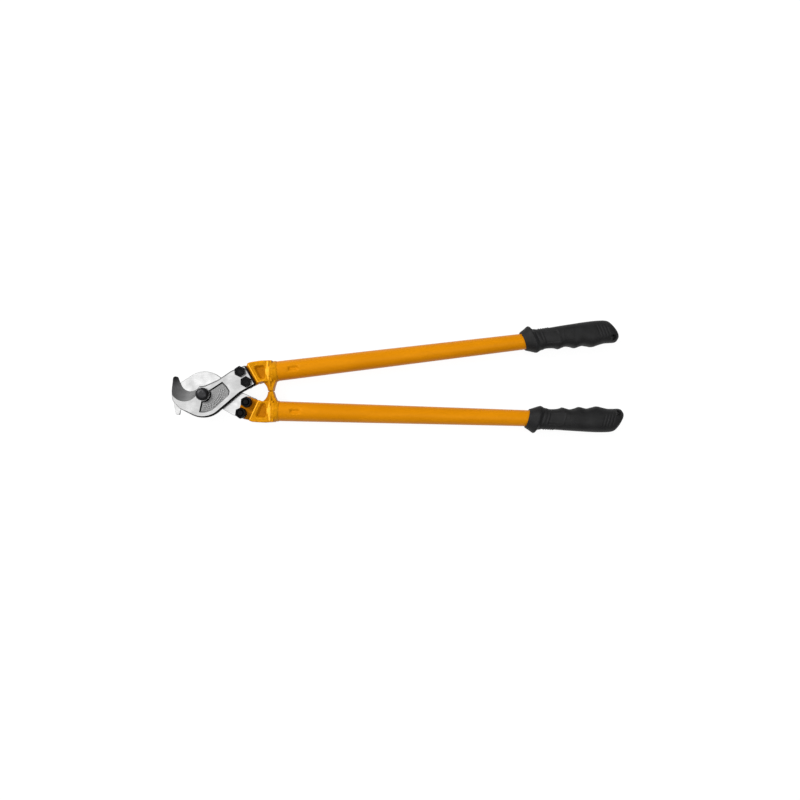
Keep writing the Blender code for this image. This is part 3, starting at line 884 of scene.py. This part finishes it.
def make_tube(side):
    """Outside from the collar to the end, then back along the inside."""
    name = f"{side}_tube"
    crimp = list(np.linspace(CRIMP_PLACE - CRIMP_LENGTH / 2, CRIMP_PLACE + CRIMP_LENGTH / 2, 29))
    places = [TUBE_START + 0.15, *crimp, *np.linspace(24, TUBE_END - 0.4, 40)]
    outside = [(TUBE_START, 0.15), *((s, 0) for s in places), (TUBE_END, 0.4)]
    back = [(s, TUBE_WALL) for s in (TUBE_END, *reversed(places), TUBE_START)]
    rings = [tube_ring(s, depth) for s, depth in outside + back]
    obj = lofted(name, rings, closed=True)
    obj.data.transform(HANDLE)
    materials = [tube_paint(f"{name}_paint", 1.0 if side == "upper" else 61.0)]
    finish_piece(obj, side, name, materials, angle=40)


# ---------------------------------------------------------------- grips

# Outer side s and t, inner side s and t, half height, and how square the section is.
GRIP_SECTIONS = (
    (318.6, 11.7, 324.0, -11.6, 12.2, 2.0),
    (318.2, 12.4, 323.7, -12.2, 13.0, 2.1),
    (319.3, 13.4, 324.8, -12.7, 13.8, 2.2),
    (323.8, 16.1, 330.4, -14.6, 15.2, 2.3),
    (327.6, 18.8, 335.6, -16.4, 16.7, 2.4),
    (329.3, 19.5, 338.2, -16.9, 17.2, 2.4),
    (330.8, 18.7, 340.0, -16.3, 16.9, 2.4),
    (332.8, 16.4, 342.2, -15.0, 15.6, 2.4),
    (334.9, 15.0, 344.2, -14.3, 14.8, 2.4),
    (336.5, 14.9, 345.8, -14.2, 15.2, 2.4),
    (338.4, 14.5, 347.4, -13.7, 15.1, 2.4),
    (341.0, 14.0, 349.2, -13.1, 14.6, 2.5),
    (348.5, 13.9, 352.8, -12.9, 15.0, 2.5),
    (358.0, 14.2, 359.0, -13.3, 15.7, 2.6),
    (363.5, 14.4, 363.5, -14.3, 16.0, 2.6),
    (367.0, 14.6, 367.0, -15.6, 16.2, 2.6),
    (371.5, 14.8, 371.5, -14.5, 16.6, 2.6),
    (377.0, 15.0, 377.0, -13.4, 16.9, 2.6),
    (383.0, 15.2, 383.0, -14.6, 17.1, 2.6),
    (389.2, 15.4, 389.2, -16.9, 17.3, 2.6),
    (395.0, 15.6, 395.0, -15.7, 17.45, 2.6),
    (400.0, 15.8, 400.0, -15.1, 17.5, 2.6),
    (405.5, 15.9, 405.5, -16.5, 17.5, 2.6),
    (412.3, 16.0, 412.5, -18.3, 17.4, 2.6),
    (418.5, 15.9, 419.5, -17.0, 17.1, 2.6),
    (424.5, 15.7, 427.5, -15.6, 16.6, 2.5),
    (431.0, 15.1, 435.5, -15.7, 15.9, 2.4),
    (435.4, 13.9, 441.0, -16.1, 15.0, 2.3),
    (438.6, 11.3, 444.6, -15.3, 13.8, 2.2),
    (441.6, 7.2, 447.0, -12.8, 12.0, 2.1),
    (443.8, 3.0, 448.3, -10.6, 9.6, 2.0),
    (445.2, 0.0, 448.3, -9.3, 6.6, 2.0),
    (446.0, -1.8, 448.0, -8.2, 3.4, 2.0),
)


# The bore's outer side s, inner side s and radius, from the mouth inwards.
GRIP_BORE = ((319.4, 324.6, 10.9), (320.4, 325.6, 10.55), (426.0, 426.0, 9.85))


def catmull_rom(table, spacing):
    """Rows between the given ones, about this far apart, on a smooth curve through them."""
    rows = np.array([table[0], *table, table[-1]], float)
    result = []
    for i in range(1, len(rows) - 2):
        a, b, c, d = rows[i - 1 : i + 3]
        reach = max(math.hypot(*(c - b)[:2]), math.hypot(*(c - b)[2:4]), abs(c[4] - b[4]))
        count = max(2, math.ceil(reach / spacing))
        for k in range(count):
            x = k / count
            cubic = 2 * a - 5 * b + 4 * c - d + x * (3 * (b - c) + d - a)
            result.append(b + 0.5 * x * (c - a + x * cubic))
    result.append(rows[-1])
    return np.array(result)


def grip_surface(spacing, steps):
    """The grip's plain outer surface, as rings of (s, t, z)."""
    rows = catmull_rom(GRIP_SECTIONS, spacing)
    angles = full_turn(steps)
    power = 2 / rows[:, 5][:, None]
    across = np.sign(np.cos(angles)) * np.abs(np.cos(angles)) ** power
    up = np.sign(np.sin(angles)) * np.abs(np.sin(angles)) ** power
    share = (1 + across) / 2
    s = rows[:, 2, None] + (rows[:, 0] - rows[:, 2])[:, None] * share
    t = rows[:, 3, None] + (rows[:, 1] - rows[:, 3])[:, None] * share
    return np.stack([s, t, rows[:, 4, None] * up], 2)


def surface_normals(rings):
    along = np.gradient(rings, axis=0)
    around = np.roll(rings, -1, 1) - np.roll(rings, 1, 1)
    normals = np.cross(around, along)
    length = np.linalg.norm(normals, axis=2, keepdims=True)
    normals = normals / np.maximum(length, 1e-9)
    outward = np.sum(normals * (rings - rings.mean(1, keepdims=True)), axis=2).mean()
    return normals if outward > 0 else -normals


def grip_relief(rings, normals):
    """How far the moulded details stand out of the plain surface, in millimetres."""
    s, t, z = rings[..., 0], rings[..., 1], rings[..., 2]
    broad = ramp(np.abs(normals[..., 2]), 0.55, 0.8)
    slant = s + 0.26 * t  # the flange and what follows it lean this way
    relief = -0.7 * window(slant, 348.5, 366.5, 0.6) * window(t, -7.2, 8.0, 0.6) * broad
    for centre in (346.8, 368.2):
        bar = window(slant, centre - 0.3, centre + 0.3, 0.7)
        relief += 0.35 * bar * window(t, -8.2, 9.0, 0.8) * broad
    knurl = np.abs(np.sin(math.pi * (s + t) / 3.0) * np.sin(math.pi * (s - t) / 3.0))
    relief += 0.55 * knurl**0.8 * window(s, 372.5, 386.5, 0.8) * window(t, -6.0, 7.0, 0.8) * broad
    for k in range(4):
        place = 419.5 + 4.2 * k
        wave = window(slant, place - 0.5, place + 0.5, 0.9)
        relief -= 0.45 * wave * window(t, -6.5, 9.5, 2.0) * broad
    ticks = np.clip(np.cos(2 * math.pi * (s - 343.0) / 3.1), -0.3, 1)
    outer = ramp(normals[..., 1], 0.35, 0.75) * ramp(t, 6, 9)
    relief += 0.75 * ticks * window(s, 342.0, 357.0, 0.8) * outer * window(np.abs(z), -1, 8.5, 2.5)
    parting = np.exp(-((z / 0.25) ** 2))
    relief += 0.14 * parting * ramp(s, 340, 345)
    return relief


def make_grip(side):
    name = f"{side}_grip"
    spacing, steps = ((0.5, 208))
    rings = grip_surface(spacing, steps)
    normals = surface_normals(rings)
    rings = rings + normals * grip_relief(rings, normals)[..., None]
    rings[..., 2] = np.clip(rings[..., 2], -GRIP_HALF, GRIP_HALF)
    angles = full_turn(steps)
    inner = []
    for s_outer, s_inner, radius in GRIP_BORE:
        share = (1 + np.cos(angles)) / 2
        s = s_inner + (s_outer - s_inner) * share
        inner.append(np.stack([s, radius * np.cos(angles), radius * np.sin(angles)], 1))
    obj = lofted(name, [*reversed(inner), *rings])
    flare = [(4.4, -FLOOR_HALF), (HOLE_RADIUS, -9.0), (HOLE_RADIUS, 9.0), (4.4, FLOOR_HALF)]
    boolean(obj, [revolved("hanging", flare, HOLE_S, HOLE_T, 64)])
    obj.data.transform(HANDLE)
    materials = [grip_rubber(f"{name}_rubber", 8.0 if side == "upper" else 81.0)]
    finish_piece(obj, side, name, materials, angle=50)


# ---------------------------------------------------------------- fasteners


def hex_ring(x, y, width, z, turn=0.0):
    radius = width / math.sqrt(3)
    corners = [turn + math.pi / 6 + k * math.pi / 3 for k in range(6)]
    return [(x + radius * math.cos(a), y + radius * math.sin(a), z) for a in corners]


def hex_solid(name, x, y, width, bottom, top, turn, chamfer_bottom, chamfer_top):
    """A hexagon whose corners are turned off at 30 degrees, at one end or both."""
    obj = lofted(name, [hex_ring(x, y, width, z, turn) for z in (bottom, top)])
    corner = width / math.sqrt(3) + 0.05
    face = width / 2 - 0.25
    drop = (corner - face) * math.tan(math.radians(30))
    profile = [(corner + 1, bottom - 1)]
    if chamfer_bottom:
        profile = [(face, bottom), (corner, bottom + drop)]
    profile += [(corner, top - drop), (face, top)] if chamfer_top else [(corner + 1, top + 1)]
    return boolean(obj, [revolved("chamfer", profile, x, y, 96)], "INTERSECT")


def threaded(name, x, y, radius, pitch, bottom, top, steps=48):
    """A bar with a helical thread, chamfered at its lower end."""
    rows = math.ceil((top - bottom) / (pitch / 10))
    angles = full_turn(steps)
    rings = []
    for z in np.linspace(bottom, top, rows):
        turn = (z / pitch - angles / (2 * math.pi)) % 1
        depth = 0.6 * pitch * np.abs(2 * turn - 1)
        limit = radius - max(0.0, 0.9 - (z - bottom))
        r = np.minimum(radius - depth, limit)
        rings.append(ring(x, y, r, z, steps))
    return lofted(name, rings)


def soften_edges(obj, width, segments=2, angle=25):
    bevel = obj.modifiers.new("edges", "BEVEL")
    bevel.width = width * MM
    bevel.segments = segments
    bevel.limit_method = "ANGLE"
    bevel.angle_limit = math.radians(angle)
    bevel.harden_normals = False
    return evaluated(obj)


def make_bolt(side, place, turn, material):
    """Hex head with a shallow dish, plain shank under it and a thread at the nut."""
    name = f"{side}_{place}_bolt"
    x, y = BOLT_PLACES[place]
    head = hex_solid(name, x, y, HEX_WIDTH, BLADE_TOP + SEAT, HEAD_TOP, turn, False, True)
    dish = [(4.3, HEAD_TOP + 1), (4.1, HEAD_TOP), (3.5, HEAD_TOP - 0.45)]
    boolean(head, [revolved("dish", dish, x, y, 64)])
    soften_edges(head, 0.12)
    shank = drilled("shank", BOLT_RADIUS, TONGUE_BOTTOM, BLADE_TOP + 1, x, y, 64)
    thread = threaded("thread", x, y, BOLT_RADIUS - 0.05, BOLT_PITCH, BOLT_END, TONGUE_BOTTOM + 0.5)
    boolean(head, [shank, thread], "UNION")
    finish_piece(head, side, name, [material])


def make_nut(side, place, turn, material):
    name = f"{side}_{place}_nut"
    x, y = BOLT_PLACES[place]
    nut = hex_solid(name, x, y, HEX_WIDTH, NUT_BOTTOM, NUT_TOP, turn, True, True)
    bore, mouth = BOLT_RADIUS + 0.05, BOLT_RADIUS + 0.75
    profile = [
        (mouth + 0.2, NUT_BOTTOM - 0.2),
        (bore, NUT_BOTTOM + 0.7),
        (bore, NUT_TOP - 0.7),
        (mouth + 0.2, NUT_TOP + 0.2),
    ]
    boolean(nut, [revolved("bore", profile, x, y, 64)])
    soften_edges(nut, 0.1)
    finish_piece(nut, side, name, [material])


def make_spring_washer(side, place, turn, material):
    """A ring of rectangular section with a slanted split and slightly sprung ends."""
    name = f"{side}_{place}_spring_washer"
    x, y = BOLT_PLACES[place]
    thickness = WASHER_TOP - WASHER_BOTTOM
    rings = []
    for k in range(73):
        share = k / 72
        angle = turn + math.radians(5 + 350 * share)
        lift = 0.12 * (share - 0.5)
        section = []
        for radius, z in (
            (WASHER_BORE, WASHER_BOTTOM + 0.1),
            (WASHER_RADIUS, WASHER_BOTTOM + 0.1),
            (WASHER_RADIUS, WASHER_TOP - 0.1),
            (WASHER_BORE, WASHER_TOP - 0.1),
        ):
            lean = 0.06 * (z - WASHER_BOTTOM) / thickness * (1 if share in (0, 1) else 0)
            a = angle + lean
            section.append((x + radius * math.cos(a), y + radius * math.sin(a), z + lift))
        rings.append(section)
    washer = lofted(name, rings)
    soften_edges(washer, 0.15, angle=40)
    finish_piece(washer, side, name, [material])


def make_pivot(material):
    """The cap-headed pivot bolt, the disc spring and the nut behind the blades."""
    base = BLADE_TOP + SEAT
    rim = CAP_RADIUS - 1.2
    profile = [
        (0.4, CAP_TOP - 0.05),
        (2.8, CAP_TOP),
        (5.2, CAP_TOP - 0.1),
        (6.4, CAP_TOP - 0.55),
        (7.5, CAP_TOP - 1.5),
        (8.3, CAP_TOP - 2.5),
        (rim, CAP_TOP - 3.3),
        (rim, base + 0.8),
        (rim - 0.35, base + 0.3),
        (rim - 0.5, base),
        (PIVOT_RADIUS, base),
        (PIVOT_RADIUS, PIVOT_NUT_TOP + 0.5),
        (0.4, PIVOT_NUT_TOP + 0.5),
    ]
    cap = revolved("pivot_bolt", profile, steps=128)
    thread = threaded("thread", 0, 0, PIVOT_RADIUS, PIVOT_PITCH, -FLOOR_HALF, PIVOT_NUT_TOP + 1, 64)
    boolean(cap, [thread], "UNION")
    finish_piece(cap, "upper", "pivot_bolt", [material], body="lower_arm")
    bore = PIVOT_RADIUS + 0.25
    sheet = 0.9
    profile = [
        (DISC_RADIUS, DISC_TOP),
        (DISC_RADIUS, DISC_TOP - sheet),
        (bore, DISC_BOTTOM),
        (bore, DISC_BOTTOM + sheet),
    ]
    disc = revolved("pivot_disc_spring", profile, steps=96, closed=True)
    soften_edges(disc, 0.15)
    finish_piece(disc, "upper", "pivot_disc_spring", [material], body="lower_arm")
    turn, ends = math.radians(8), (PIVOT_NUT_BOTTOM, PIVOT_NUT_TOP)
    nut = hex_solid("pivot_nut", 0, 0, PIVOT_NUT_WIDTH, *ends, turn, True, True)
    mouth = PIVOT_RADIUS + 0.9
    profile = [
        (mouth + 0.2, PIVOT_NUT_BOTTOM - 0.2),
        (PIVOT_RADIUS + 0.05, PIVOT_NUT_BOTTOM + 0.8),
        (PIVOT_RADIUS + 0.05, PIVOT_NUT_TOP - 0.8),
        (mouth + 0.2, PIVOT_NUT_TOP + 0.2),
    ]
    boolean(nut, [revolved("bore", profile, steps=64)])
    soften_edges(nut, 0.15)
    finish_piece(nut, "upper", "pivot_nut", [material], body="lower_arm")


# ---------------------------------------------------------------- stage

# The camera looks almost straight down on the tool, which lies a little turned in its view.
VIEW_TURN = math.radians(2.63)
VIEW_TILT = math.radians(3.0)
VIEW_DISTANCE = 0.9
VIEW_WIDTH = 1.0695  # what the picture spans at the tool's middle plane
VIEW_CENTRE = (0.2610, -0.01935, 0)  # from the pivot


def make_camera():
    data = bpy.data.cameras.new("camera")
    data.sensor_width = 36.0
    data.lens = data.sensor_width * VIEW_DISTANCE / VIEW_WIDTH
    data.clip_start, data.clip_end = 0.05, 50
    camera = object_of("camera", data)
    turn = Matrix.Rotation(-VIEW_TURN, 4, "Z") @ Matrix.Rotation(VIEW_TILT, 4, "X")
    camera.matrix_world = Matrix.Translation(PIVOT + Vector(VIEW_CENTRE)) @ turn
    camera.location += turn @ Vector((0, 0, VIEW_DISTANCE))
    bpy.context.scene.camera = camera


def make_light(name, place, aim, size, power):
    data = bpy.data.lights.new(name, "AREA")
    data.shape = "RECTANGLE"
    data.size, data.size_y = size
    data.energy = power
    light = object_of(name, data)
    light.location = place
    light.rotation_euler = (Vector(aim) - Vector(place)).to_track_quat("-Z", "Y").to_euler()


def make_stage():
    """A pale floor, a broad light from above, a key light from the upper left and a soft fill."""
    mesh = bpy.data.meshes.new("floor")
    shape = bmesh.new()
    bmesh.ops.create_grid(shape, x_segments=1, y_segments=1, size=6.0)
    shape.to_mesh(mesh)
    shape.free()
    floor = object_of("floor", mesh)
    floor.location.z = -0.0002
    material, tree, shader = new_material("floor", (0.1, 0.1, 0.1), 0.0, 0.8, Specular_IOR_Level=0.0)
    shader.inputs["Emission Color"].default_value = (1.0, 1.0, 1.0, 1.0)
    shader.inputs["Emission Strength"].default_value = 0.92
    faint = noise(tree, coordinates(tree), 0.004, 2.0)
    tint = blend_colors(tree, faint, (0.097, 0.097, 0.097), (0.103, 0.103, 0.103))
    tree.links.new(tint, shader.inputs["Base Color"])
    mesh.materials.append(material)
    world = bpy.data.worlds.new("studio")
    bpy.context.scene.world = world
    world.use_nodes = True
    background = world.node_tree.nodes["Background"]
    background.inputs["Color"].default_value = (1.0, 1.0, 1.0, 1.0)
    background.inputs["Strength"].default_value = 0.32
    make_light("overhead", (-0.4, 0.1, 2.4), (-0.2, 0, 0), (2.4, 1.9), 18)
    make_light("key", (-1.5, 1.1, 1.8), (-0.05, 0, 0), (1.0, 1.0), 62)
    make_light("fill", (0.5, -0.5, 2.2), (0, 0, 0), (1.2, 1.2), 19)
    bpy.context.scene.view_settings.view_transform = "Standard"


make_camera()
make_stage()
FASTENER_BLACK = {}
for arm_side, arm_seed in (("upper", 11), ("lower", 53)):
    FASTENER_BLACK[arm_side] = black_steel(f"{arm_side}_fastener_black", arm_seed)
PIVOT_BLACK = black_steel("pivot_black", 71.0, (0.022, 0.022, 0.023), 0.38)
for arm_side in ARMS:
    make_blade(arm_side)
    make_socket(arm_side)
    make_tube(arm_side)
    make_grip(arm_side)
    for bolt_name, spin in (("outer", 0.03), ("inner", -0.04)):
        make_bolt(arm_side, bolt_name, spin, FASTENER_BLACK[arm_side])
        make_nut(arm_side, bolt_name, spin + 0.12, FASTENER_BLACK[arm_side])
        make_spring_washer(arm_side, bolt_name, 2.2, FASTENER_BLACK[arm_side])
make_pivot(PIVOT_BLACK)
